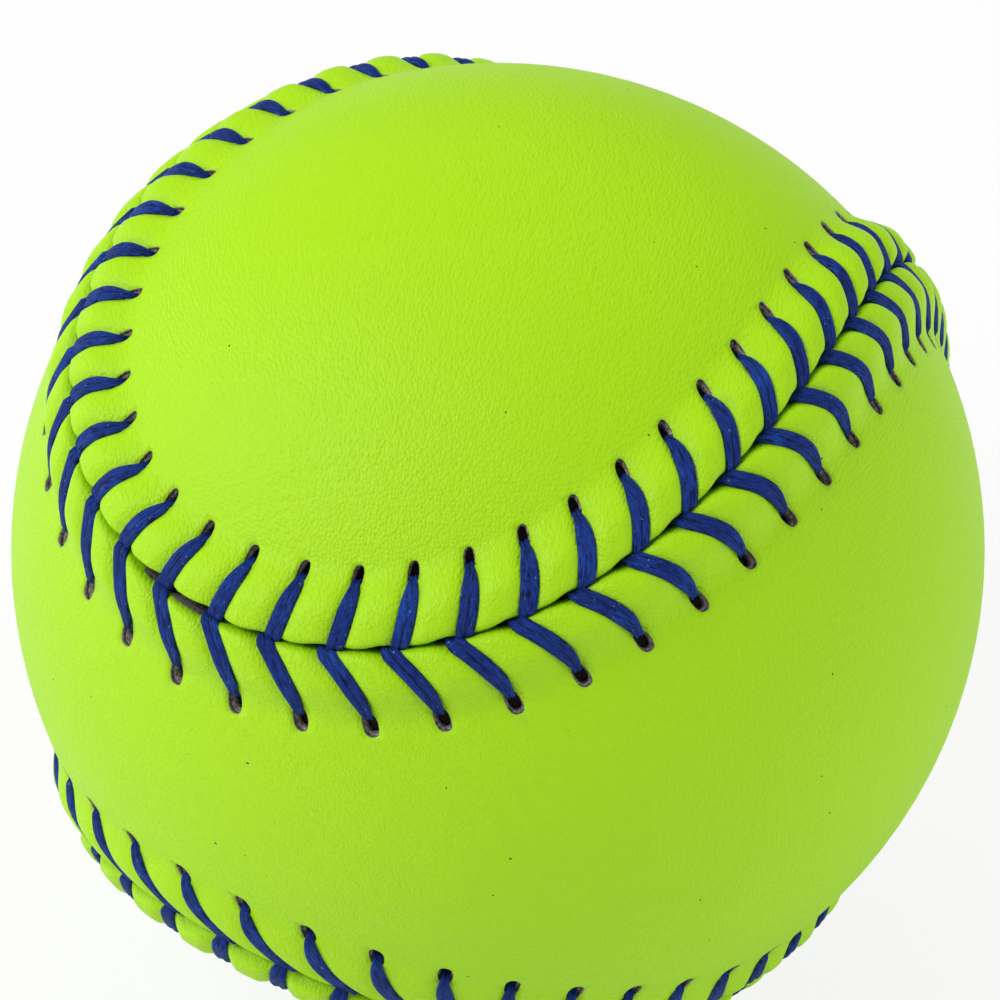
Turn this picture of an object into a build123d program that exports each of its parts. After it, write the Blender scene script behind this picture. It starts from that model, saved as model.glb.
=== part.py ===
from build123d import *
import math
import os

# Twelve-inch softball, millimetres, origin at the centre of the ball.
# +Z passes through the middle of a lobe of the upper panel, and Y is the axis through both waists.

# Ball and seam
BALL_RADIUS = 48.0  # over the smooth middle of a panel
WAIST_WIDTH = 40.5  # narrowest part of a figure-eight panel, seam to seam over the surface
LOBE_FULLNESS = 0.0186  # how far the lobes swell past the plain two-harmonic seam, 0 for none
STITCH_COUNT = 88  # stitches along the seam, on each panel

# Layers
SKIN_THICKNESS = 0.5  # coated, grained face of the cover
BACKING_THICKNESS = 1.5  # felt that the skin is laminated to
CEMENT_THICKNESS = 0.25  # rubber cement film on the core

# Rolled edges beside the seam
ROLL_WIDTH = 6.0  # from the middle of the seam to the foot of a roll
ROLL_HEIGHT = 1.5  # crest of a roll over the panel, under the thread
ROLL_SINK = 0.5  # how far the roll's arch starts under the panel surface
ROLL_STEPS = 6  # flats that make up one arch
GROOVE_WIDTH = 1.2  # open groove between the two panels

# Needle slits
SLIT_LENGTH = 2.8
SLIT_NARROW_END = 0.5  # away from the roll
SLIT_MARGIN = 0.2  # from the foot of the roll to the slit

# Thread: flat on the roll, drawn together in the slit and under the cover
THREAD_WIDTH = 2.1
THREAD_THICKNESS = 0.6
DRAWN_WIDTH = 1.0
DRAWN_THICKNESS = 0.5
THREAD_CLEARANCE = 0.08  # thread to cover
THREAD_SPACING = 0.2  # between the two threads that pass down the groove side by side

# Counts that set how finely the seam is followed
SEAM_SPANS = 16  # curves that make up one closed rail
SPAN_STEPS = 4
SEAM_SAMPLES = 1440

# Radii of the layers, from the outside in
BACKING_RADIUS = BALL_RADIUS - SKIN_THICKNESS
CEMENT_RADIUS = BACKING_RADIUS - BACKING_THICKNESS
CORE_RADIUS = CEMENT_RADIUS - CEMENT_THICKNESS

# Harmonics of the seam, worked out so that the waist comes to its width
WAIST_ANGLE = WAIST_WIDTH / 2 / BALL_RADIUS
SWING_ANGLE = WAIST_ANGLE - math.asin(LOBE_FULLNESS * math.cos(WAIST_ANGLE))
SECOND_SHARE = (1 - math.sin(SWING_ANGLE)) / 2
FIRST_SHARE = 1 - SECOND_SHARE
LIFT_SHARE = 2 * math.sqrt(FIRST_SHARE * SECOND_SHARE)


def seam_direction(turn):
    """Unit vector from the centre of the ball to the seam, for turn from 0 to 2 pi."""
    across = FIRST_SHARE * math.cos(turn) - SECOND_SHARE * math.cos(3 * turn)
    along = LIFT_SHARE * math.cos(2 * turn)
    up = FIRST_SHARE * math.sin(turn) + SECOND_SHARE * math.sin(3 * turn)
    swell = LOBE_FULLNESS * math.cos(5 * turn), LOBE_FULLNESS * math.sin(5 * turn)
    return Vector(across + swell[0], along, up + swell[1]).normalized()


def seam_table():
    """Running length of the seam, on the panel surface, at even steps of turn."""
    lengths = [0.0]
    for step in range(SEAM_SAMPLES):
        start = seam_direction(2 * math.pi * step / SEAM_SAMPLES)
        end = seam_direction(2 * math.pi * (step + 1) / SEAM_SAMPLES)
        lengths.append(lengths[-1] + (end - start).length * BALL_RADIUS)
    return lengths


SEAM_LENGTHS = seam_table()
SEAM_LENGTH = SEAM_LENGTHS[-1]
STITCH_PITCH = SEAM_LENGTH / STITCH_COUNT


def turn_at(run):
    """Turn of the seam at a run of so many millimetres along it."""
    laps, rest = divmod(run, SEAM_LENGTH)
    low, high = 0, SEAM_SAMPLES
    while high - low > 1:
        middle = (low + high) // 2
        if SEAM_LENGTHS[middle] <= rest:
            low = middle
        else:
            high = middle
    share = (rest - SEAM_LENGTHS[low]) / (SEAM_LENGTHS[high] - SEAM_LENGTHS[low])
    return 2 * math.pi * (laps + (low + share) / SEAM_SAMPLES)


def seam_axes(run):
    """Outward, along-seam and toward-upper-panel directions at a run along the seam."""
    turn = turn_at(run)
    step = math.pi / SEAM_SAMPLES
    outward = seam_direction(turn)
    along = (seam_direction(turn + step) - seam_direction(turn - step)).normalized()
    return outward, along, along.cross(outward)


def place(run, offset, radius):
    """Point at a run along the seam, offset over the surface to the upper panel's side, and a radius."""
    outward, _, sideways = seam_axes(run)
    angle = offset / BALL_RADIUS
    return (outward * math.cos(angle) + sideways * math.sin(angle)) * radius


def rail(offset, radius):
    """Curves that follow the seam all round, end to end and tangent to each other."""
    step = SEAM_LENGTH / SEAM_SPANS / SPAN_STEPS
    spans = []
    for span in range(SEAM_SPANS):
        runs = [step * (span * SPAN_STEPS + point) for point in range(SPAN_STEPS + 1)]
        points = [place(run, offset, radius) for run in runs]
        tangents = [seam_axes(run)[1] for run in (runs[0], runs[-1])]
        spans.append(Edge.make_spline(points, tangents=tangents))
    return spans


def seam_ring(section):
    """Closed ring along the seam from a section of (offset, radius) corners."""
    rails = [rail(offset, radius) for offset, radius in section]
    strips = [
        Face.make_surface_from_curves(first, second)
        for one_rail, next_rail in zip(rails, rails[1:] + rails[:1])
        for first, second in zip(one_rail, next_rail)
    ]
    return Solid(Shell(strips))


# Half width of a roll's arch, and its middle measured from the middle of the seam
ROLL_REACH = ROLL_WIDTH / 2


def roll_corner(radius, inset, step):
    """Corner of a roll's arch over a ball of this radius, from the groove, step 0, to the foot."""
    angle = math.pi * step / ROLL_STEPS
    offset = ROLL_REACH - (ROLL_REACH - inset) * math.cos(angle)
    return offset, radius - ROLL_SINK + (ROLL_HEIGHT + ROLL_SINK) * math.sin(angle)


def raised_ball(radius, inset):
    """Ball with both rolled edges on it, each inset from the full width of its roll."""
    near = [roll_corner(radius, inset, step) for step in range(ROLL_STEPS + 1)]
    far = [(-offset, height) for offset, height in reversed(near)]
    rolls = seam_ring([*far, *(near if inset else near[1:])])
    return Solid.make_sphere(radius) + rolls


def roll_height(offset):
    """Radius of the top of a roll at an offset from the middle of the seam."""
    corners = [roll_corner(BALL_RADIUS, 0, step) for step in range(ROLL_STEPS + 1)]
    for (near, low), (far, high) in zip(corners, corners[1:]):
        if near <= offset <= far:
            return low + (high - low) * (offset - near) / (far - near)


# Slits start beside the roll's foot, and the thread comes up at that end, where they are wide enough for it
SLIT_START = ROLL_WIDTH + SLIT_MARGIN
SLIT_END = SLIT_START + SLIT_LENGTH
RISE_ROOM = DRAWN_THICKNESS + 2 * THREAD_CLEARANCE
RISE_OFFSET = SLIT_START + RISE_ROOM / 2
RISE_WIDTH = DRAWN_WIDTH + 2 * THREAD_CLEARANCE
SLIT_TAPER = (RISE_WIDTH - SLIT_NARROW_END) / (SLIT_LENGTH - RISE_ROOM)
SLIT_WIDE_END = SLIT_NARROW_END + SLIT_TAPER * SLIT_LENGTH

# Tunnel under the cover, along the seam, where the thread passes from panel to panel
HIDDEN_SAG = RISE_OFFSET**2 / 8 / CEMENT_RADIUS
TUNNEL_HEIGHT = DRAWN_THICKNESS + HIDDEN_SAG + 3 * THREAD_CLEARANCE
TUNNEL_REACH = SLIT_END + SLIT_MARGIN
HIDDEN_RADIUS = CEMENT_RADIUS + (TUNNEL_HEIGHT + HIDDEN_SAG) / 2

# Runs from a slit to where its thread goes down the groove, half a pitch on,
# with the two threads side by side
GROOVE_SHIFT = (DRAWN_WIDTH + THREAD_SPACING) / 2
UPPER_LEAN = STITCH_PITCH / 2 - GROOVE_SHIFT
LOWER_LEAN = STITCH_PITCH / 2 + GROOVE_SHIFT


def tunnel_ball():
    """Inside of the cover: the cement's ball with the tunnel along the seam standing on it."""
    roof = CEMENT_RADIUS + TUNNEL_HEIGHT
    floor = CEMENT_RADIUS - ROLL_SINK
    half = [(ROLL_REACH, roof), (ROLL_WIDTH, roof), (TUNNEL_REACH, roof), (TUNNEL_REACH, floor)]
    other_half = [(-offset, radius) for offset, radius in reversed(half)]
    return Solid.make_sphere(CEMENT_RADIUS) + seam_ring([*other_half, (0, roof), *half])


def groove():
    """What the groove between the panels takes out of the cover."""
    wall = GROOVE_WIDTH / 2
    low = CEMENT_RADIUS - ROLL_SINK
    high = BALL_RADIUS + 2 * ROLL_HEIGHT
    return seam_ring([(-wall, low), (-wall, high), (wall, high), (wall, low)])


def slit(run, side):
    """What one needle slit takes out of the cover, on the upper panel's side or the lower's."""
    rise = place(run, side * RISE_OFFSET, BALL_RADIUS)
    normal = rise.normalized()
    along = seam_axes(run)[1]
    away = along.cross(normal) * side
    near = rise - normal * (BALL_RADIUS - CORE_RADIUS) - away * (RISE_ROOM / 2)
    far = near + away * SLIT_LENGTH
    wide = along * (SLIT_WIDE_END / 2)
    narrow = along * (SLIT_NARROW_END / 2)
    outline = Wire.make_polygon([near + wide, far + narrow, far - narrow, near - wide])
    return Solid.extrude(Face(outline), normal * (BALL_RADIUS - CORE_RADIUS + ROLL_HEIGHT))


def thread_section(run, offset, radius, width, thickness, lean):
    """Four-cornered section of thread, its width along the seam and its thickness along the lean.

    The lean is an angle, from the direction away from the upper panel, 0, to straight out, 90 degrees.
    """
    off = -thickness / 2 * math.cos(lean)
    out = thickness / 2 * math.sin(lean)
    corners = [
        place(run - width / 2, offset - off, radius - out),
        place(run + width / 2, offset - off, radius - out),
        place(run + width / 2, offset + off, radius + out),
        place(run - width / 2, offset + off, radius + out),
    ]
    return Wire.make_polygon(corners)


def stitch(run, side, lean, other_lean):
    """One stitch: from the groove under its panel, up its slit, over the roll and down the groove.

    Its two end faces are the end faces of the other panel's stitches before and after it.
    """
    lift = THREAD_THICKNESS / 2 + THREAD_CLEARANCE
    mitre = DRAWN_THICKNESS * math.sqrt(2)
    inward = math.pi / 2 - side * math.pi / 4
    outward = math.pi / 2 + side * math.pi / 4
    start = run - STITCH_PITCH + other_lean
    rise = side * RISE_OFFSET
    wall = GROOVE_WIDTH / 2

    def drawn(at, offset, radius, angle):
        return thread_section(at, offset, radius, DRAWN_WIDTH, mitre, angle)

    sections = [
        drawn(start, 0, HIDDEN_RADIUS, inward),
        drawn(run, rise, HIDDEN_RADIUS, inward),
        drawn(run, rise, BALL_RADIUS + lift, outward),
    ]
    for step in range(ROLL_STEPS - 1, 0, -1):
        offset, height = roll_corner(BALL_RADIUS, 0, step)
        if offset < wall + lift:
            break
        angle = math.pi * step / ROLL_STEPS
        at = run + lean * (1 - offset / RISE_OFFSET)
        centre = offset - lift * math.cos(angle)
        tilt = math.pi / 2 + side * (angle - math.pi / 2)
        sections.append(
            thread_section(
                at,
                side * centre,
                height + lift * math.sin(angle),
                THREAD_WIDTH,
                THREAD_THICKNESS,
                tilt,
            )
        )
    shoulder = lift * math.sqrt(0.5)
    sections.append(
        drawn(run + lean, side * (wall - shoulder), roll_height(wall) + shoulder, inward)
    )
    sections.append(drawn(run + lean, 0, HIDDEN_RADIUS, outward))
    return Solid.make_loft(sections, ruled=True)


def upper_panel(layer):
    """The upper panel of one layer of the cover, cut free by the groove."""
    return max((layer - groove()).solids(), key=lambda half: half.center().Y)


def write(name, shape):
    """Writes one sub-part."""
    shape.label = name
    export_step(shape, os.path.join("parts", name + ".step"))


def main():
    """Builds every sub-part and writes it."""
    os.makedirs("parts", exist_ok=True)
    core = Solid.make_sphere(CORE_RADIUS)
    write("core", core)
    write("cement_coat", Solid.make_sphere(CEMENT_RADIUS) - core)

    runs = [STITCH_PITCH * number for number in range(STITCH_COUNT)]
    laminate = raised_ball(BACKING_RADIUS, SKIN_THICKNESS)
    layers = {
        "skin": raised_ball(BALL_RADIUS, 0) - laminate,
        "backing": laminate - tunnel_ball(),
    }
    # Both panels are cut from one pattern: the lower is the upper turned half round
    swap_axis = Axis((0, 0, 0), (1, 0, 1))
    for name, layer in layers.items():
        upper = upper_panel(layer) - [slit(run, 1) for run in runs]
        write(f"upper_panel_{name}", upper)
        write(f"lower_panel_{name}", upper.rotate(swap_axis, 180))

    upper_stitches = [stitch(run, 1, UPPER_LEAN, LOWER_LEAN) for run in runs]
    lower_stitches = [stitch(run, -1, LOWER_LEAN, UPPER_LEAN) for run in runs]
    write("upper_panel_stitches", Compound(children=upper_stitches))
    write("lower_panel_stitches", Compound(children=lower_stitches))


main()
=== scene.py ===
"""Looks of a softball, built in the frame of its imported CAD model."""

import logging
import math
from dataclasses import dataclass, field
from enum import Enum

import bmesh
import bpy
import numpy as np
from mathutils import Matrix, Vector


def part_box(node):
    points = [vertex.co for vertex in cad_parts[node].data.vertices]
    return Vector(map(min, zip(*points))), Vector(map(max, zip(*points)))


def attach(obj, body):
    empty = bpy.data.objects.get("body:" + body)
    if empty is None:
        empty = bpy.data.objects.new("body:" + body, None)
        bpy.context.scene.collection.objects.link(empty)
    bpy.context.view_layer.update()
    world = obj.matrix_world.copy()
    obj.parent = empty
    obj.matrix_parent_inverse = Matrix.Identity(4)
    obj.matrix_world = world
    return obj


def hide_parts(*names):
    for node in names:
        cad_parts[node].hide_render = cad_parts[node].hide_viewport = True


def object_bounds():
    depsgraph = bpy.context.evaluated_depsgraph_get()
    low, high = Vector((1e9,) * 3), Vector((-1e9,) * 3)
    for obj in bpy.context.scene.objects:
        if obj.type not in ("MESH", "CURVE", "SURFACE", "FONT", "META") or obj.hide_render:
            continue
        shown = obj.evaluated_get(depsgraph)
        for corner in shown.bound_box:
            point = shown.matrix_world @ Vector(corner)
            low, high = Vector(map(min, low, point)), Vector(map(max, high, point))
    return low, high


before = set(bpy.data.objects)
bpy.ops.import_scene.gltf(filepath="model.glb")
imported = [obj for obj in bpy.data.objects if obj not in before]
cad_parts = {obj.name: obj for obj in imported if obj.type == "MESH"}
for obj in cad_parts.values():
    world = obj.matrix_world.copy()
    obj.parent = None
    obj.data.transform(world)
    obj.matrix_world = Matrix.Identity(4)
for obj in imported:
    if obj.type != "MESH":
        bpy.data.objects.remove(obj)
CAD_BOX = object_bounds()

LOG = logging.getLogger("softball")
MM = 0.001
SEED = 12


class Panel(Enum):
    """The two figure-eight panels of the cover, by the side of the seam that they lie on."""

    UPPER = 1
    LOWER = -1

    @property
    def word(self) -> str:
        """Start of the names of this panel's pieces."""
        return self.name.lower() + "_panel"

    @property
    def spine_axis(self) -> int:
        """Axis square to the plane that halves the panel lengthwise."""
        return 0 if self is Panel.UPPER else 2


@dataclass
class SeamPath:
    """Closed seam of a two-panel ball, in millimetres, measured on the smooth panel surface."""

    radius: float
    waist_width: float = 40.5
    lobe_fullness: float = 0.0186
    stitch_count: int = 88
    samples: int = 2880
    stray: float = 1.05  # how far the seam strays to the upper panel on one stretch
    stray_middle: float = 156.0
    stray_reach: float = 25.0
    stray_fade: float = 17.0  # distance from the seam at which the panels no longer stray with it
    twist: float = 2.2  # how far it strays to either side along another stretch
    twist_middle: float = 401.5
    twist_reach: float = 24.0
    twist_lag: float = 0.3  # from its middle to where the stitches crept most, in units of twice its reach
    tip_slope: float = 1e-4  # below this, a run takes the mean reach of its neighbours
    creep: float = 1.0  # how far the stitches crept along the seam where it strays
    twist_creep: float = 2.7  # the same where it twists
    flattened: float = 0.55  # share of the lower panel's roll that is pressed flat there
    turns: np.ndarray = field(init=False)
    lengths: np.ndarray = field(init=False)

    def __post_init__(self) -> None:
        """Works out the seam's harmonics and its running length."""
        waist = self.waist_width / 2 / self.radius
        swing = waist - math.asin(self.lobe_fullness * math.cos(waist))
        self.second = (1 - math.sin(swing)) / 2
        self.first = 1 - self.second
        self.turns = np.linspace(0, 2 * math.pi, self.samples + 1)
        points = self.directions(self.turns) * self.radius
        steps = np.linalg.norm(np.diff(points, axis=0), axis=1)
        self.lengths = np.concatenate([[0.0], np.cumsum(steps)])

    @property
    def length(self) -> float:
        """Length of the seam."""
        return float(self.lengths[-1])

    @property
    def pitch(self) -> float:
        """Spacing of the stitches along the seam."""
        return self.length / self.stitch_count

    def directions(self, turns: np.ndarray) -> np.ndarray:
        """Unit vectors from the centre of the ball to the seam.

        Args:
            turns: Angles from 0 to 2 pi.

        Returns:
            One row of three numbers for each turn.
        """
        lift = 2 * math.sqrt(self.first * self.second)
        across = self.first * np.cos(turns) - self.second * np.cos(3 * turns)
        up = self.first * np.sin(turns) + self.second * np.sin(3 * turns)
        across = across + self.lobe_fullness * np.cos(5 * turns)
        up = up + self.lobe_fullness * np.sin(5 * turns)
        points = np.stack([across, lift * np.cos(2 * turns), up], axis=-1)
        return points / np.linalg.norm(points, axis=-1, keepdims=True)

    def axes(self, runs: np.ndarray) -> tuple[np.ndarray, np.ndarray, np.ndarray]:
        """Directions of the seam's own frame.

        Args:
            runs: Lengths along the seam.

        Returns:
            The outward, along-seam and toward-the-upper-panel unit vectors, one row for each run.
        """
        turns = np.interp(np.mod(runs, self.length), self.lengths, self.turns)
        step = math.pi / self.samples
        outward = self.directions(turns)
        along = self.directions(turns + step) - self.directions(turns - step)
        along /= np.linalg.norm(along, axis=-1, keepdims=True)
        return outward, along, np.cross(along, outward)

    def place(self, runs: np.ndarray, offsets: np.ndarray, heights: np.ndarray) -> np.ndarray:
        """Points beside the seam.

        Args:
            runs: Lengths along the seam.
            offsets: Distances over the surface, to the upper panel's side.
            heights: Heights over the smooth panel surface.

        Returns:
            One point in metres for each run.
        """
        outward, _, sideways = self.axes(runs)
        fade = np.clip(1 - (np.asarray(offsets) / self.stray_fade) ** 2, 0, 1) ** 2
        stray = self.stray * self.straying(runs) + self.twist * self.twisting(runs)
        angles = ((offsets + stray * fade) / self.radius)[..., None]
        pressed = np.where((np.asarray(offsets) < 0) & (np.asarray(heights) > 0), self.flattened, 0.0)
        radii = (self.radius + heights * (1 - pressed * self.twisted(runs)))[..., None]
        return (outward * np.cos(angles) + sideways * np.sin(angles)) * radii * MM

    def straying(self, runs: np.ndarray) -> np.ndarray:
        """How far into the straying stretch these runs are, from 0 to 1."""
        away = np.mod(runs, self.length) - self.stray_middle
        return np.exp(-((away / self.stray_reach) ** 2))

    def twisting(self, runs: np.ndarray) -> np.ndarray:
        """Which way and how far into the twisting stretch these runs are, from -1 to 1."""
        away = (np.mod(runs, self.length) - self.twist_middle) / self.twist_reach
        return away * np.exp((1 - away**2) / 2)

    def twisted(self, runs: np.ndarray) -> np.ndarray:
        """How far into the twisting stretch these runs are, from 0 to 1."""
        away = (np.mod(runs, self.length) - self.twist_middle) / self.twist_reach / 2
        return np.exp(-((away - self.twist_lag) ** 2))

    def creeping(self, runs: np.ndarray) -> np.ndarray:
        """How far along the seam the stitches crept."""
        return self.creep * self.straying(runs) + self.twist_creep * self.twisted(runs)

    def spine_reach(self, runs: np.ndarray, panel: Panel) -> np.ndarray:
        """Distances over the surface from the seam to the line that halves a panel lengthwise.

        Args:
            runs: Lengths along the seam, in order and all round it.
            panel: The panel that is crossed.

        Returns:
            One distance for each run.
        """
        outward, _, sideways = self.axes(runs)
        near = outward[..., panel.spine_axis]
        slope = panel.value * sideways[..., panel.spine_axis]
        facing = np.where(slope < 0, 1.0, -1.0)
        angles = np.arctan2(near * facing, -slope * facing)
        angles = np.mod(angles, math.pi)
        tips = np.abs(slope) < self.tip_slope
        around = (np.roll(angles, 1) + np.roll(angles, -1)) / 2
        return np.where(tips, around, angles) * self.radius


@dataclass(frozen=True)
class RolledEdge:
    """Rolled edge of a panel beside the seam, and the stitches that press it, in millimetres."""

    foot: float = 8.0  # from the panel's edge to where the roll dies into the panel
    crest: float = 2.6
    fullness: float = 4.5  # 2 for a round roll, more for one that is pressed square to the groove
    pillow: float = 2.35  # height of the crest between stitches
    valley: float = 1.35  # height of the crest under a stitch
    press_reach: float = 1.35  # half width of the valley under a stitch
    wall_depth: float = 1.1  # how far the panel's cut edge reaches down the groove
    closed_gap: float = 0.07  # half the groove where the panels butt together
    open_gap: float = 0.36  # half the groove where the stitches pull it open
    gap_reach: float = 1.1
    gap_lag: float = 1.7  # run from a meeting place to the middle of its opening
    gap_fade: float = 1.5  # distance from the panel's edge over which the opening dies away
    tight_share: float = 0.8  # how much of the opening is lost where the seam strays
    slack_gap: float = 0.36  # more of the same on one slack stretch of the seam
    slack_middle: float = 135.0
    slack_reach: float = 6.0
    slit_near: float = 6.3
    slit_far: float = 8.75
    slit_half: float = 0.68
    slit_square: float = 2.5  # 2 for an oval hole, more for a blunter one
    slant_most: float = 2.05  # a hole slants with its stitch's bow, and less again past a hard turn
    slant_fall: float = 1.7
    dimple: float = 0.3
    edge_shade_width: float = 0.3  # width of the painted shade along the cut edge

    def lean_share(self, offsets: np.ndarray, bows: np.ndarray) -> np.ndarray:
        """Share of a stitch's lean that it has taken on its way from the slit.

        Args:
            offsets: Distances from the panel's edge.
            bows: How the stitches bend.

        Returns:
            One share for each pair, below 0 inside the slit.
        """
        short = np.clip(1 - offsets / self.slit_near, 1 - self.slit_far / self.slit_near, 1)
        slants = np.minimum(bows, self.slant_most - self.slant_fall * bows)
        return short * np.where(short > 0, bows + (1 - bows) * short, slants)

    def arch(self, offsets: np.ndarray) -> np.ndarray:
        """Height of the roll, as a share of its crest.

        Args:
            offsets: Distances from the panel's edge.

        Returns:
            One share for each offset.
        """
        short = np.clip((self.crest - offsets) / self.crest, 0, 1)
        rise = (1 - short**self.fullness) ** (1 / self.fullness)
        fall = np.clip((offsets - self.crest) / (self.foot - self.crest), 0, 1)
        return np.where(offsets < self.crest, rise, (1 + np.cos(math.pi * fall)) / 2)

    def press(self, beside: np.ndarray) -> np.ndarray:
        """How hard a stitch presses the roll at these distances beside it, from 0 to 1."""
        return np.exp(-np.abs(beside / self.press_reach) ** 3)

    def height(self, offsets: np.ndarray, beside: np.ndarray) -> np.ndarray:
        """Height of the leather over the smooth panel.

        Args:
            offsets: Distances from the panel's edge.
            beside: Distances along the seam from the middle of the nearest stitch.

        Returns:
            One height for each pair.
        """
        crest = self.pillow - (self.pillow - self.valley) * self.press(beside)
        hole = (offsets - self.slit_near) ** 2 + beside**2
        return self.arch(offsets) * crest - self.dimple * np.exp(-hole / 2)


@dataclass(frozen=True)
class StitchLay:
    """How the thread lies, in millimetres along the seam and over it."""

    width: float = 1.8
    thickness: float = 0.8
    drawn_width: float = 0.95
    first_meeting: float = 4.6  # run of the first place where two stitches meet in the groove
    upper_lean: float = 2.0  # run from a slit of the upper panel to its meeting place
    lower_lean: float = 2.2
    twist_lean: float = 1.0  # more of the lower lean where the seam twists
    lead: float = 1.2  # how far past the meeting place the lower stitches go down
    lean_swing: float = 2.3  # how much the upper lean rises and falls along the seam
    swing_middle: float = 113.0
    slip: float = 1.2  # how much further the upper stitches slipped where the seam strays
    bow: float = 0.6  # 1 for straight stitches; less turns them near the groove, more near the slit
    lower_bow: float = 0.2
    slipped_bow: float = 1.8
    groove_depth: float = 1.3
    bedding: float = 0.4  # share of the thickness from the leather to the thread's middle
    squareness: float = 0.7  # 1 for an oval thread, less for a squarer one
    crease_depth: float = 0.22  # between the plies, as a share of the thickness
    crease_half: float = 0.12  # as a share of the width
    corners: int = 12
    stations: int = 19

    def meetings(self, seam: SeamPath) -> np.ndarray:
        """Runs of the places where the stitches of the two panels meet."""
        even = self.first_meeting + np.arange(seam.stitch_count) * seam.pitch
        return even + seam.creeping(even)

    def leans(self, panel: Panel, seam: SeamPath) -> np.ndarray:
        """Run from each slit of a panel to where its stitch goes down the groove.

        Args:
            panel: The panel.
            seam: The seam.

        Returns:
            One run for each stitch.
        """
        if panel is Panel.LOWER:
            return self.lower_lean + self.lead + self.twist_lean * seam.twisted(self.meetings(seam))
        turns = (self.meetings(seam) - self.swing_middle) * 4 * math.pi / seam.length
        return self.upper_lean - self.lean_swing * np.sin(turns) + self.slips(panel, seam)

    def slips(self, panel: Panel, seam: SeamPath) -> np.ndarray:
        """How far each stitch of a panel goes down the groove past its meeting place.

        Args:
            panel: The panel.
            seam: The seam.

        Returns:
            One run for each stitch.
        """
        if panel is Panel.LOWER:
            return np.full(seam.stitch_count, self.lead)
        return self.slip * seam.straying(self.meetings(seam))

    def bows(self, panel: Panel, seam: SeamPath) -> np.ndarray:
        """How each stitch of a panel bends on its way over the roll.

        Args:
            panel: The panel.
            seam: The seam.

        Returns:
            One bow for each stitch.
        """
        if panel is Panel.LOWER:
            return np.full(seam.stitch_count, self.lower_bow)
        return self.bow + (self.slipped_bow - self.bow) * seam.straying(self.meetings(seam))

    def slits(self, panel: Panel, seam: SeamPath) -> np.ndarray:
        """Runs of a panel's slits."""
        return self.meetings(seam) + self.slips(panel, seam) - self.leans(panel, seam)


class Nodes:
    """Short calls for building one material's node tree."""

    def __init__(self, name: str) -> None:
        """Makes the material and clears its tree.

        Args:
            name: The material's name.
        """
        self.material = bpy.data.materials.new(name)
        self.material.use_nodes = True
        self.tree = self.material.node_tree
        self.tree.nodes.clear()

    def add(self, kind: str, **inputs: object) -> bpy.types.Node:
        """Adds a node.

        Args:
            kind: The node's type, without its ShaderNode start.
            inputs: Values or output sockets by input name, with spaces as underscores.

        Returns:
            The new node.
        """
        node = self.tree.nodes.new("ShaderNode" + kind)
        for name, value in inputs.items():
            self.put(node, name.replace("_", " "), value)
        return node

    def put(self, node: bpy.types.Node, name: str, value: object) -> None:
        """Sets an input of a node or links an output socket to it.

        Args:
            node: The node.
            name: The input's name, or i and its number.
            value: A value or an output socket.
        """
        socket = node.inputs[int(name[1:])] if name[1:].isdigit() else node.inputs[name]
        if isinstance(value, bpy.types.NodeSocket):
            self.tree.links.new(value, socket)
        else:
            socket.default_value = value

    def object_point(self) -> bpy.types.NodeSocket:
        """Object coordinates."""
        return self.add("TexCoord").outputs["Object"]

    def attribute(self, name: str) -> bpy.types.NodeSocket:
        """One of the piece's own numbers.

        Args:
            name: The attribute's name.

        Returns:
            Its socket.
        """
        node = self.add("Attribute")
        node.attribute_name = name
        return node.outputs["Fac"]

    def math(self, operation: str, *values: object) -> bpy.types.NodeSocket:
        """Sum on numbers or sockets.

        Args:
            operation: What is done with them.
            values: The numbers or sockets, in order.

        Returns:
            The socket of the result.
        """
        node = self.add("Math")
        node.operation = operation
        for index, value in enumerate(values):
            self.put(node, f"i{index}", value)
        return node.outputs[0]

    def noise(self, point: object, scale: float, detail: float = 3.0) -> bpy.types.NodeSocket:
        """Smooth noise from 0 to 1."""
        return self.add("TexNoise", Vector=point, Scale=scale, Detail=detail).outputs["Fac"]

    def stretch(self, point: object, scale: tuple, turn: tuple = (0, 0, 0)) -> bpy.types.NodeSocket:
        """Point in a turned and stretched frame.

        Args:
            point: The point's socket.
            scale: How much longer each axis is.
            turn: Angles that the frame is turned by.

        Returns:
            The socket of the point in that frame.
        """
        node = self.add("Mapping", Vector=point, Scale=scale, Rotation=turn)
        node.vector_type = "TEXTURE"
        return node.outputs["Vector"]

    def band(self, value: object, low: float, high: float) -> bpy.types.NodeSocket:
        """Value taken from 0 at low to 1 at high, and held there."""
        node = self.add("MapRange", Value=value, From_Min=low, From_Max=high)
        return node.outputs["Result"]

    def blend(self, share: object, first: object, second: object) -> bpy.types.NodeSocket:
        """Mix of two colours.

        Args:
            share: How much of the second colour there is.
            first: The first colour.
            second: The second colour.

        Returns:
            The mix's socket.
        """
        node = self.add("Mix")
        node.data_type = "RGBA"
        self.put(node, "i0", share)
        self.put(node, "i6", first)
        self.put(node, "i7", second)
        return node.outputs[2]

    def bump(
        self, height: object, distance: float, strength: float, normal: object = None
    ) -> bpy.types.NodeSocket:
        """Normal with a relief on it.

        Args:
            height: The relief's socket.
            distance: Height of the relief in metres.
            strength: How much of it shows.
            normal: A normal that already has a relief.

        Returns:
            The normal's socket.
        """
        node = self.add("Bump", Height=height, Distance=distance, Strength=strength)
        if normal is not None:
            self.put(node, "Normal", normal)
        return node.outputs["Normal"]

    def finish(self, **inputs: object) -> bpy.types.Material:
        """Ends the tree in one surface shader.

        Args:
            inputs: Values or output sockets by input name, with spaces as underscores.

        Returns:
            The finished material.
        """
        shader = self.add("BsdfPrincipled", **inputs)
        output = self.add("OutputMaterial")
        self.tree.links.new(shader.outputs[0], output.inputs["Surface"])
        return self.material


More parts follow.
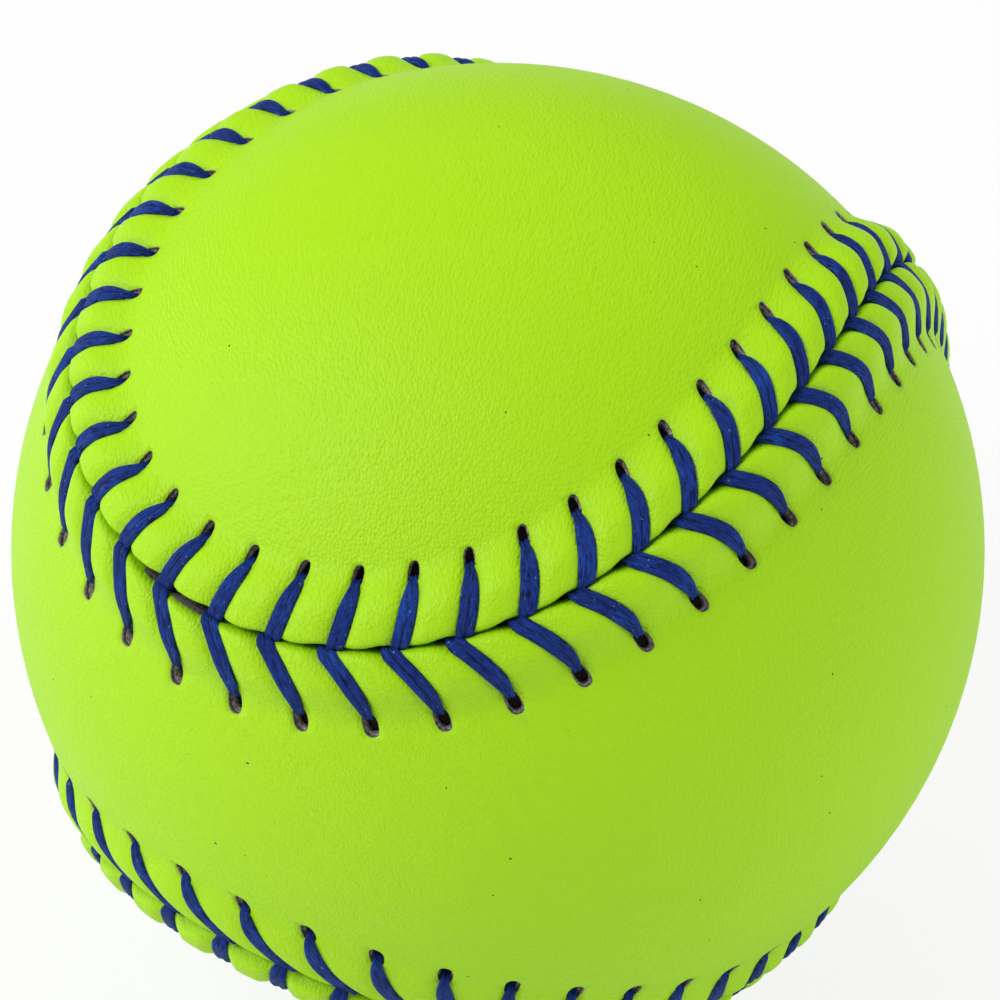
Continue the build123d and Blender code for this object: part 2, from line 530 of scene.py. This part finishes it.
@dataclass(frozen=True)
class LeatherFinish:
    """Optic yellow-green synthetic leather with a fine embossed grain."""

    colour: tuple = (0.41, 0.77, 0.003, 1)
    pale: tuple = (0.45, 0.8, 0.008, 1)
    # Painted shade: a darker copy of the leather colour, for the cut edge in the groove.
    crease: tuple = (0.24, 0.47, 0.006, 1)
    dye: tuple = (0.1, 0.3, 0.12, 1)
    speck: tuple = (0.05, 0.07, 0.02, 1)
    roughness: float = 0.5
    specular: float = 0.3
    grain_scale: float = 3000.0
    grain_relief: float = 0.0001  # in metres
    grain_length: float = 2.5  # of a grain's cell, in widths
    grain_turn: float = math.radians(24)

    def material(self) -> bpy.types.Material:
        """Builds the material.

        Returns:
            The material.
        """
        nodes = Nodes("cover_leather")
        point = nodes.object_point()
        cloud = nodes.band(nodes.noise(point, 60), 0.35, 0.7)
        colour = nodes.blend(nodes.math("MULTIPLY", cloud, 0.25), self.colour, self.pale)
        # Painted shade: the leather turns toward the crease colour on its cut edge and just over it.
        edge = nodes.math("MULTIPLY", nodes.attribute("edge"), 0.45)
        colour = nodes.blend(edge, colour, self.crease)
        smudge = nodes.band(nodes.noise(point, 420), 0.55, 0.75)
        smudge = nodes.math("MULTIPLY", smudge, nodes.attribute("press"))
        colour = nodes.blend(nodes.math("MULTIPLY", smudge, 0.5), colour, self.dye)
        speck = nodes.band(nodes.noise(point, 1500, 0.0), 0.9, 0.915)
        colour = nodes.blend(speck, colour, self.speck)
        longer = nodes.stretch(point, (1, self.grain_length, 1), (0, 0, self.grain_turn))
        cells = nodes.add("TexVoronoi", Vector=longer, Scale=self.grain_scale, Randomness=0.7)
        grain = cells.outputs["Distance"]
        wrinkle = nodes.math("MULTIPLY", nodes.noise(point, 900, 2.0), nodes.attribute("press"))
        normal = nodes.bump(wrinkle, 0.0002, 0.5)
        normal = nodes.bump(nodes.math("SUBTRACT", 1.0, grain), self.grain_relief, 1.0, normal)
        rough = nodes.math("MULTIPLY_ADD", grain, 0.16, self.roughness - 0.08)
        shader = {"Base_Color": colour, "Roughness": rough, "Normal": normal}
        return nodes.finish(**shader, Specular_IOR_Level=self.specular)


@dataclass(frozen=True)
class ThreadFinish:
    """Royal blue waxed thread of two plies laid side by side."""

    colour: tuple = (0.009, 0.028, 0.2, 1)
    bright: tuple = (0.014, 0.09, 0.48, 1)
    dark: tuple = (0.003, 0.006, 0.04, 1)
    lint: tuple = (0.25, 0.4, 0.6, 1)
    roughness: float = 0.55
    specular: float = 0.14
    fibres_across: float = 17.0
    fibres_along: float = 13.0
    seed_step: float = 40.0  # keeps the stitches' fibres apart

    def material(self) -> bpy.types.Material:
        """Builds the material.

        Returns:
            The material.
        """
        nodes = Nodes("blue_thread")
        point = nodes.object_point()
        across = nodes.attribute("across")
        along = nodes.attribute("along")
        seed = nodes.attribute("seed")
        wander = nodes.math("MULTIPLY_ADD", nodes.noise(point, 420, 2.0), 0.3, -0.15)
        line = nodes.math("ADD", across, wander)
        cell = nodes.add("CombineXYZ", X=nodes.math("MULTIPLY", line, self.fibres_across))
        nodes.put(cell, "Y", nodes.math("MULTIPLY", along, self.fibres_along))
        nodes.put(cell, "Z", nodes.math("MULTIPLY", seed, self.seed_step))
        fibre = nodes.noise(cell.outputs[0], 1.0, 4.0)
        patch = nodes.band(nodes.noise(point, 240, 3.0), 0.45, 0.7)
        sheen = nodes.math("MULTIPLY_ADD", patch, 0.75, 0.3)
        share = nodes.math("MULTIPLY", nodes.band(fibre, 0.4, 0.66), sheen)
        colour = nodes.blend(share, self.colour, self.bright)
        colour = nodes.blend(nodes.band(fibre, 0.46, 0.34), colour, self.dark)
        # Painted shade: a dark line, broken by noise, along the crease between the two plies.
        middle = nodes.math("ABSOLUTE", nodes.math("MULTIPLY_ADD", wander, 0.35, across))
        broken_shade = nodes.band(nodes.noise(point, 330), 0.4, 0.6)
        crease = nodes.math("MULTIPLY", nodes.band(middle, 0.08, 0.0), broken_shade)
        colour = nodes.blend(crease, colour, self.dark)
        lint = nodes.band(nodes.noise(point, 3400, 0.0), 0.76, 0.88)
        colour = nodes.blend(nodes.math("MULTIPLY", lint, 0.5), colour, self.lint)
        normal = nodes.bump(fibre, 0.00025, 1.0)
        shader = {"Base_Color": colour, "Roughness": self.roughness, "Normal": normal}
        return nodes.finish(**shader, Specular_IOR_Level=self.specular)


@dataclass(frozen=True)
class MottledFinish:
    """Plain matte stuff with a mottled colour and a small relief, and painted shade along a sheet's cut
    edge.
    """

    name: str
    colour: tuple
    other: tuple
    scale: float
    relief: float = 0.0002
    roughness: float = 0.9

    def material(self) -> bpy.types.Material:
        """Builds the material.

        Returns:
            The material.
        """
        nodes = Nodes(self.name)
        mottle = nodes.noise(nodes.object_point(), self.scale, 4.0)
        colour = nodes.blend(nodes.band(mottle, 0.3, 0.7), self.colour, self.other)
        # Painted shade: the felt goes to its dark tone toward its cut edge in the groove.
        edge = nodes.math("MULTIPLY", nodes.attribute("edge"), 0.7)
        colour = nodes.blend(edge, colour, self.colour)
        normal = nodes.bump(mottle, self.relief, 0.8)
        return nodes.finish(Base_Color=colour, Roughness=self.roughness, Normal=normal)


FELT = MottledFinish("grey_felt", (0.035, 0.03, 0.022, 1), (0.46, 0.43, 0.38, 1), 3200)
# Partly painted shade: the cement is dark brown-black so that the deep thread holes read darker.
CEMENT = MottledFinish("cement_with_painted_shade", (0.06, 0.045, 0.03, 1), (0.12, 0.09, 0.06, 1), 700)
FOAM = MottledFinish("moulded_foam", (0.6, 0.5, 0.33, 1), (0.7, 0.6, 0.42, 1), 900)


def link(name: str, mesh: bmesh.types.BMesh, materials: list) -> bpy.types.Object:
    """Makes an object of a mesh.

    Args:
        name: The object's name.
        mesh: The mesh, which is freed.
        materials: The object's materials, in order.

    Returns:
        The object, linked to the scene.
    """
    data = bpy.data.meshes.new(name)
    for face in mesh.faces:
        face.smooth = True
    mesh.to_mesh(data)
    mesh.free()
    for material in materials:
        data.materials.append(material)
    piece = bpy.data.objects.new(name, data)
    bpy.context.scene.collection.objects.link(piece)
    return piece


def smooth_line(values: np.ndarray, count: int) -> np.ndarray:
    """Smooth line through control values.

    Args:
        values: The control values, at even steps.
        count: How many values are wanted.

    Returns:
        Values at even steps along the line.
    """
    at = np.linspace(0, len(values) - 1, count)
    start = np.minimum(at.astype(int), len(values) - 2)
    share = at - start
    before, first, second, after = (
        values[np.clip(start + shift, 0, len(values) - 1)] for shift in (-1, 0, 1, 2)
    )
    bend = 2 * before - 5 * first + 4 * second - after
    twist = 3 * (first - second) + after - before
    return first + share / 2 * (second - before + share * (bend + share * twist))


def extrude_loops(mesh: bmesh.types.BMesh, loops: list, points: np.ndarray) -> list:
    """Extrudes closed loops of vertices by one step.

    Args:
        mesh: The mesh that holds the loops.
        loops: Lists of vertices, each a closed loop in order.
        points: A place for each new vertex, loop by loop.

    Returns:
        The new loops, in the same order.
    """
    edges = []
    for loop in loops:
        edges += [mesh.edges.get((one, after)) for one, after in zip(loop, loop[1:] + loop[:1])]
    made = bmesh.ops.extrude_edge_only(mesh, edges=edges)["geom"]
    fresh = {item for item in made if isinstance(item, bmesh.types.BMVert)}
    places = iter(points)
    new_loops = []
    for loop in loops:
        grown = []
        for vertex in loop:
            sides = (edge.other_vert(vertex) for edge in vertex.link_edges)
            copy = next(other for other in sides if other in fresh)
            copy.co = next(places)
            grown.append(copy)
        new_loops.append(grown)
    return new_loops


@dataclass
class CoverPanel:
    """One layer of one panel: a sheet with a rolled edge and holes for the thread."""

    panel: Panel
    seam: SeamPath
    edge: RolledEdge
    lay: StitchLay
    name: str = "leather"
    depth: float = 0.0  # of the sheet's outer face below the leather's
    thickness: float = 0.5
    setback: float = 0.0  # of the sheet's edge and holes from the leather's
    slack_share: float = 1.0  # how much of the leather's slack opening the sheet takes part in
    wall_rows: int = 3
    roll_rows: int = 17
    slit_rows: int = 7
    slit_columns: int = 7
    between_columns: int = 7
    row_crowding: float = 1.6  # above 1, the rows crowd to the panel's edge
    slit_rim: float = 0.25  # from the last row of the roll to the slits
    margin: float = 3.0  # smooth sheet beyond the slits that keeps the fine columns
    margin_shares: tuple = (0.12, 0.4, 1.0)  # places of its rows
    weld: float = 0.02  # distance within which the two halves join on the middle line
    inner_rows: int = 12
    thinned_rows: tuple = (4, 6)

    def __post_init__(self) -> None:
        """Lays the columns of the sheet out along the seam."""
        half = self.edge.slit_half
        slits = self.lay.slits(self.panel, self.seam)
        leans = self.lay.leans(self.panel, self.seam)
        spacing = np.mod(np.roll(slits, -1) - slits, self.seam.length)[:, None]
        hole = np.tile(np.linspace(-half, half, self.slit_columns), (len(slits), 1))
        spread = np.linspace(0, 1, self.between_columns + 2)[None, 1:-1]
        beside = np.hstack([hole, half + (spacing - 2 * half) * spread])
        share = np.clip((beside - half) / (spacing - 2 * half), 0, 1)
        self.columns = (slits[:, None] + beside).ravel()
        self.beside = np.where(beside * 2 < spacing, beside, beside - spacing).ravel()
        bows = self.lay.bows(self.panel, self.seam)
        self.leans = (leans[:, None] * (1 - share) + np.roll(leans, -1)[:, None] * share).ravel()
        self.bows = (bows[:, None] * (1 - share) + np.roll(bows, -1)[:, None] * share).ravel()

    def offsets(self) -> list[tuple[float, float]]:
        """Lays the rows out over the cut edge, the roll and the slits.

        Returns:
            Distance from the panel's edge and drop below the roll, for each row.
        """
        edge = self.edge
        rows = [(0.0, edge.wall_depth * (1 - share)) for share in np.linspace(0, 1, self.wall_rows + 1)]
        bend = np.linspace(0, 1, self.roll_rows + 1)[1:] ** self.row_crowding
        rows += [(float(share), 0.0) for share in bend * (edge.slit_near - self.slit_rim)]
        rows += [(float(at), 0.0) for at in np.linspace(edge.slit_near, edge.slit_far, self.slit_rows)]
        rows += [(edge.slit_far + self.margin * share, 0.0) for share in self.margin_shares]
        return rows

    def gap(self, runs: np.ndarray) -> np.ndarray:
        """Half width of the groove, open beside the places where the stitches go down it.

        Args:
            runs: Lengths along the seam.

        Returns:
            One half width for each run.
        """
        edge = self.edge
        pitch = self.seam.pitch
        even = runs - self.seam.creeping(runs)
        away = np.mod(even - self.lay.first_meeting - edge.gap_lag + pitch / 2, pitch) - pitch / 2
        opening = (edge.open_gap - edge.closed_gap) * np.exp(-((away / edge.gap_reach) ** 2))
        opening = opening * (1 - edge.tight_share * self.seam.straying(runs))
        far = ((runs - edge.slack_middle) / edge.slack_reach) ** 4
        slack = self.slack_share * edge.slack_gap * np.exp(-far)
        return edge.closed_gap + opening + slack + self.setback

    def row_points(self, offset: float, drop: float) -> tuple[np.ndarray, np.ndarray]:
        """One row of the sheet beside the seam.

        Args:
            offset: Distance from the panel's edge.
            drop: Depth below the roll, down the cut edge.

        Returns:
            The points, and how hard the stitches press at each.
        """
        edge = self.edge
        middle = (edge.slit_near + edge.slit_far) / 2
        half = (edge.slit_far - edge.slit_near) / 2
        offsets = np.full(self.beside.shape, offset)
        x, y = self.beside / edge.slit_half, (offsets - middle) / half
        inside = (np.abs(x) < 1.001) & (np.abs(y) < 1.001)
        square = np.maximum(np.maximum(np.abs(x), np.abs(y)), 1e-6)
        power = edge.slit_square
        fit = square / (np.abs(x) ** power + np.abs(y) ** power + 1e-9) ** (1 / power)
        narrow = (1 - self.setback / edge.slit_half) * fit
        short = (1 - self.setback / half) * fit
        runs = self.columns + np.where(inside, self.beside * (narrow - 1), 0.0)
        offsets = np.where(inside, middle + half * y * short, offsets)
        runs = runs + self.leans * edge.lean_share(offsets, self.bows)
        heights = edge.height(offsets, self.beside) - drop - self.depth
        offsets = offsets + self.gap(runs) * np.exp(-offsets / edge.gap_fade)
        points = self.seam.place(runs, self.panel.value * offsets, heights)
        return points, edge.press(self.beside) * math.exp(-((offset / edge.slit_far) ** 4))

    def build(self) -> bpy.types.Object:
        """Builds the sheet.

        Returns:
            The sheet, in place.
        """
        mesh = bmesh.new()
        press_layer = mesh.verts.layers.float.new("press")
        # The edge attribute places painted shade: 1 on the cut edge, fading over the top of the roll.
        edge_shade_layer = mesh.verts.layers.float.new("edge")
        rows = self.offsets()
        points, _ = self.row_points(*rows[0])
        first = bmesh.ops.create_circle(mesh, segments=len(points), radius=1)["verts"]
        for vertex, point in zip(first, points):
            vertex.co = point
        rings = [list(first)]
        for offset, drop in rows[1:]:
            points, press = self.row_points(offset, drop)
            ring = extrude_loops(mesh, rings[-1:], points)[0]
            for vertex, value in zip(ring, press):
                vertex[press_layer] = value
                vertex[edge_shade_layer] = math.exp(-((offset / self.edge.edge_shade_width) ** 2))
            rings.append(ring)
        for vertex in rings[0]:
            vertex[edge_shade_layer] = 1.0
        self.cut_slits(mesh, rings)
        self.close_middle(mesh, rings[-1], rows[-1][0])
        bmesh.ops.recalc_face_normals(mesh, faces=mesh.faces)
        if sum(face.normal.dot(face.calc_center_median()) for face in mesh.faces) < 0:
            bmesh.ops.reverse_faces(mesh, faces=mesh.faces)
        outside = FELT.material() if self.depth else LeatherFinish().material()
        piece = link(f"{self.panel.word}_{self.name}", mesh, [outside, FELT.material()])
        wall = piece.modifiers.new("thickness", "SOLIDIFY")
        wall.thickness = self.thickness * MM
        wall.offset = -1
        wall.material_offset = 1
        wall.material_offset_rim = 1
        return piece

    def cut_slits(self, mesh: bmesh.types.BMesh, rings: list) -> None:
        """Takes the faces of every thread hole out.

        Args:
            mesh: The panel's mesh.
            rings: Its rows of vertices beside the seam.
        """
        start = self.wall_rows + 1 + self.roll_rows
        columns = self.slit_columns + self.between_columns
        holes = []
        for near, far in zip(rings[start:], rings[start + 1 : start + self.slit_rows]):
            for stitch in range(self.seam.stitch_count):
                for column in range(self.slit_columns - 1):
                    index = stitch * columns + column
                    shared = set(near[index].link_faces) & set(far[index + 1].link_faces)
                    holes += shared
        bmesh.ops.delete(mesh, geom=holes, context="FACES")

    def close_middle(self, mesh: bmesh.types.BMesh, ring: list, offset: float) -> None:
        """Carries the leather on from the fine columns to the middle line of the panel, with fewer columns.

        Args:
            mesh: The panel's mesh.
            ring: The last fine row.
            offset: Its distance from the panel's edge.
        """
        step = self.seam.length / len(self.columns)
        first = 2 * round(self.columns[0] / step / 2)
        even = (first + np.arange(len(self.columns))) * step
        shares = np.linspace(0, 1, self.thinned_rows[0] + 1)
        columns = self.columns + self.leans * self.edge.lean_share(offset, self.bows)
        for row in range(1, self.inner_rows + 1):
            share = shares[min(row, len(shares) - 1)]
            runs = columns * (1 - share) + even * share
            reach = self.seam.spine_reach(runs, self.panel)
            offsets = offset + (reach - offset) * row / self.inner_rows
            heights = self.edge.height(offsets, np.full(runs.shape, self.seam.pitch / 2)) - self.depth
            points = self.seam.place(runs, self.panel.value * offsets, heights)
            ring = extrude_loops(mesh, [ring], points)[0]
            if row in self.thinned_rows:
                targets = dict(zip(ring[1::2], ring[::2]))
                bmesh.ops.weld_verts(mesh, targetmap=targets)
                ring = ring[::2]
                columns = columns[::2]
                even = even[::2]
        bmesh.ops.remove_doubles(mesh, verts=ring, dist=self.weld * MM)


@dataclass
class StitchRow:
    """All the stitches on one panel."""

    panel: Panel
    seam: SeamPath
    edge: RolledEdge
    lay: StitchLay

    def path(self) -> tuple[np.ndarray, np.ndarray, np.ndarray]:
        """Middle line of a stitch, from under the slit to down the groove.

        Returns:
            Offsets from the seam, heights over the panel, and widths.
        """
        edge, lay = self.edge, self.lay
        over = np.linspace(edge.slit_near - 0.45, 0.75, 6)
        tops = edge.height(over, np.zeros(over.shape)) + lay.thickness * lay.bedding
        rise = edge.slit_near + np.array([0.6, 0.5, 0.22])
        rise_heights = np.array([-1.4, -0.4, 0.15])
        dive = np.array([0.3, 0.05, -0.05, -0.05])
        dive_heights = np.array([tops[-1] - 0.2, tops[-1] - 0.75, 0.2, -lay.groove_depth])
        drawn = lay.drawn_width / lay.width
        shares = np.array([drawn, drawn, drawn, 0.72, 0.93, 1, 1, 1, 0.98, 0.92, 0.76, 0.58, 0.45])
        offsets = np.concatenate([rise, over, dive])
        heights = np.concatenate([rise_heights, tops, dive_heights])
        return tuple(smooth_line(values, lay.stations) for values in (offsets, heights, lay.width * shares))

    def outline(self) -> tuple[np.ndarray, np.ndarray]:
        """Two-ply section of the thread.

        Returns:
            Shares of its width and of its thickness, one of each for every corner.
        """
        lay = self.lay
        angles = 2 * math.pi * np.arange(lay.corners) / lay.corners
        across = np.cos(angles) / 2
        up = np.sign(np.sin(angles)) * np.abs(np.sin(angles)) ** lay.squareness / 2
        crease = np.where(up > 0, np.exp(-((across / lay.crease_half) ** 2)), 0.0)
        return across, up - lay.crease_depth * crease

    def sections(self) -> np.ndarray:
        """Corners of every section of every stitch.

        Returns:
            An array by station, stitch, corner and coordinate.
        """
        offsets, heights, widths = self.path()
        starts = self.lay.slits(self.panel, self.seam)
        leans = self.lay.leans(self.panel, self.seam)
        shape = (len(offsets), len(starts))
        bows = self.lay.bows(self.panel, self.seam)
        shares = self.edge.lean_share(offsets[:, None], bows[None, :])
        runs = (starts[None, :] + leans[None, :] * shares).ravel()
        sides = np.repeat(self.panel.value * offsets, len(starts))
        middles = self.seam.place(runs, sides, np.repeat(heights, len(starts))).reshape(*shape, 3)
        along = self.seam.axes(runs)[1].reshape(*shape, 3)
        ahead = np.gradient(middles, axis=0)
        ahead /= np.linalg.norm(ahead, axis=-1, keepdims=True)
        wide = along - ahead * np.sum(along * ahead, axis=-1, keepdims=True)
        wide /= np.linalg.norm(wide, axis=-1, keepdims=True)
        thick = np.cross(wide, ahead) * self.panel.value
        across, up = self.outline()
        spread = widths[:, None, None, None] * MM * across[None, None, :, None] * wide[:, :, None, :]
        raised = self.lay.thickness * MM * up[None, None, :, None] * thick[:, :, None, :]
        return middles[:, :, None, :] + spread + raised

    def build(self) -> bpy.types.Object:
        """Builds the stitches.

        Returns:
            One object with all the stitches of the panel.
        """
        mesh = bmesh.new()
        layers = {name: mesh.verts.layers.float.new(name) for name in ("across", "along", "seed")}
        sections = self.sections()
        across = self.outline()[0]
        seeds = np.random.default_rng(SEED + self.panel.value).random(self.seam.stitch_count)
        loops = []
        for corners in sections[0]:
            loop = bmesh.ops.create_circle(mesh, cap_ends=True, segments=self.lay.corners, radius=1)["verts"]
            for vertex, point in zip(loop, corners):
                vertex.co = point
            loops.append(list(loop))
        for station, corners in enumerate(sections):
            if station:
                loops = extrude_loops(mesh, loops, corners.reshape(-1, 3))
            for loop, seed in zip(loops, seeds):
                for vertex, share in zip(loop, across):
                    vertex[layers["across"]] = share
                    vertex[layers["along"]] = station / (len(sections) - 1)
                    vertex[layers["seed"]] = seed
        ends = [edge for edge in mesh.edges if edge.is_boundary]
        bmesh.ops.holes_fill(mesh, edges=ends, sides=self.lay.corners)
        bmesh.ops.recalc_face_normals(mesh, faces=mesh.faces)
        return link(f"{self.panel.word}_thread", mesh, [ThreadFinish().material()])


@dataclass
class Studio:
    """Floor, lights and camera, in metres."""

    radius: float
    floor_level: float
    azimuth: float = math.radians(36.95)
    elevation: float = math.radians(38.3)
    distance_in_radii: float = 15.42
    lens: float = 269.7
    sensor: float = 36.0
    aim_up: float = 0.1017  # in radii
    aim_right: float = 0.0043
    floor_half: float = 3.0
    floor_grey: float = 0.92
    floor_glow: float = 0.85  # share of plain white in the floor as the camera sees it
    surround: float = 0.32  # brightness of the surroundings
    mirrored_dim: float = 0.14  # how much dimmer shiny faces mirror them

    def view_axes(self) -> tuple[Vector, Vector, Vector]:
        """Directions as the camera has them.

        Returns:
            Unit vectors to the camera, to its right and up.
        """
        level = math.cos(self.elevation)
        across, ahead = level * math.sin(self.azimuth), -level * math.cos(self.azimuth)
        back = Vector((across, ahead, math.sin(self.elevation)))
        right = Vector((0, 0, 1)).cross(back).normalized()
        return back, right, back.cross(right)

    def camera(self) -> None:
        """Sets the camera at the photograph's viewing angle."""
        back, right, up = self.view_axes()
        aim = (up * self.aim_up + right * self.aim_right) * self.radius
        data = bpy.data.cameras.new("camera")
        data.lens = self.lens
        data.sensor_width = self.sensor
        camera = bpy.data.objects.new("camera", data)
        camera.location = back * self.distance_in_radii * self.radius
        camera.rotation_euler = (aim - camera.location).to_track_quat("-Z", "Y").to_euler()
        bpy.context.scene.collection.objects.link(camera)
        bpy.context.scene.camera = camera

    def lamp(
        self, name: str, toward: Vector, distance: float, size: float, level: float, mirrored: bool = False
    ) -> None:
        """Adds a soft lamp that faces the ball.

        Args:
            name: The lamp's name.
            toward: Direction from the ball to the lamp.
            distance: Distance from the ball.
            size: Side of the square lamp.
            level: What a white face turned to the lamp renders at.
            mirrored: Whether shiny faces mirror the lamp.
        """
        data = bpy.data.lights.new(name, "AREA")
        data.size = size
        data.energy = level * math.pi**2 * distance**2
        lamp = bpy.data.objects.new(name, data)
        lamp.visible_glossy = mirrored
        lamp.location = toward.normalized() * distance
        lamp.rotation_euler = (-lamp.location).to_track_quat("-Z", "Y").to_euler()
        bpy.context.scene.collection.objects.link(lamp)

    def lights(self) -> None:
        """Sets the lamps and the surroundings."""
        back, right, up = self.view_axes()
        self.lamp("key", back * 0.72 - right * 0.72 + up * 0.4, 0.9, 0.5, 0.62, True)
        self.lamp("side", -right - back * 0.3 + up * 0.15, 1.0, 0.8, 0.3, True)
        self.lamp("top", up - back * 0.1 - right * 0.1, 1.0, 0.8, 0.3)
        self.lamp("fill", back * 0.4 + right * 0.9 + up * 0.2, 1.1, 1.0, 0.42)
        world = bpy.data.worlds.new("surroundings")
        world.use_nodes = True
        world.node_tree.nodes["Background"].inputs["Color"].default_value = (1, 1, 1, 1)
        path = world.node_tree.nodes.new("ShaderNodeLightPath")
        dimmer = world.node_tree.nodes.new("ShaderNodeMath")
        dimmer.operation = "MULTIPLY_ADD"
        dimmer.inputs[1].default_value = -self.mirrored_dim
        dimmer.inputs[2].default_value = self.surround
        world.node_tree.links.new(path.outputs["Is Glossy Ray"], dimmer.inputs[0])
        strength = world.node_tree.nodes["Background"].inputs["Strength"]
        world.node_tree.links.new(dimmer.outputs[0], strength)
        bpy.context.scene.world = world

    def floor(self) -> bpy.types.Object:
        """Builds the pale floor.

        Returns:
            The floor, which the ball rests on.
        """
        mesh = bmesh.new()
        bmesh.ops.create_grid(mesh, x_segments=1, y_segments=1, size=self.floor_half)
        bmesh.ops.translate(mesh, verts=mesh.verts, vec=(0, 0, self.floor_level))
        nodes = Nodes("pale_floor")
        paint = nodes.add("BsdfDiffuse", Color=(*[self.floor_grey] * 3, 1))
        glow = nodes.add("Emission", Color=(1, 1, 1, 1), Strength=1.0)
        path = nodes.add("LightPath")
        seen = nodes.math("MAXIMUM", path.outputs["Is Camera Ray"], path.outputs["Is Transmission Ray"])
        seen = nodes.math("MULTIPLY", seen, self.floor_glow)
        mix = nodes.add("MixShader", i0=seen, i1=paint.outputs[0], i2=glow.outputs[0])
        output = nodes.add("OutputMaterial")
        nodes.tree.links.new(mix.outputs[0], output.inputs["Surface"])
        return link("floor", mesh, [nodes.material])


def dress_inside() -> None:
    """Gives the cement and the core their finishes."""
    finishes = {
        "cement_coat": CEMENT.material(),
        "core": FOAM.material(),
    }
    for node, material in finishes.items():
        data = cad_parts[node].data
        data.materials.clear()
        data.materials.append(material)
        LOG.info("%s: %s", node, material.name)


def main() -> None:
    """Builds the ball's pieces, then the studio."""
    low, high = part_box("upper_panel_skin")
    radius = (high.z - low.z) / 2
    seam = SeamPath(radius / MM)
    edges = {Panel.UPPER: RolledEdge(slit_near=5.55, slit_far=7.75), Panel.LOWER: RolledEdge()}
    lay = StitchLay()
    for panel, edge in edges.items():
        leather = CoverPanel(panel, seam, edge, lay).build()
        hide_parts(f"{panel.word}_skin")
        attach(leather, "root")
        felt = CoverPanel(
            panel,
            seam,
            edge,
            lay,
            name="felt",
            depth=0.52,
            thickness=1.4,
            setback=0.16,
            slack_share=0.1,
            wall_rows=1,
            roll_rows=11,
        ).build()
        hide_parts(f"{panel.word}_backing")
        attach(felt, "root")
        thread = StitchRow(panel, seam, edge, lay).build()
        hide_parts(f"{panel.word}_stitches")
        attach(thread, "root")
        LOG.info("%s, %s and %s", leather.name, felt.name, thread.name)
    dress_inside()
    studio = Studio(radius, CAD_BOX[0].z)
    studio.camera()
    studio.lights()
    studio.floor()
    bpy.context.scene.view_settings.view_transform = "Standard"


if __name__ == "__main__":
    logging.basicConfig(level=logging.INFO)
    main()
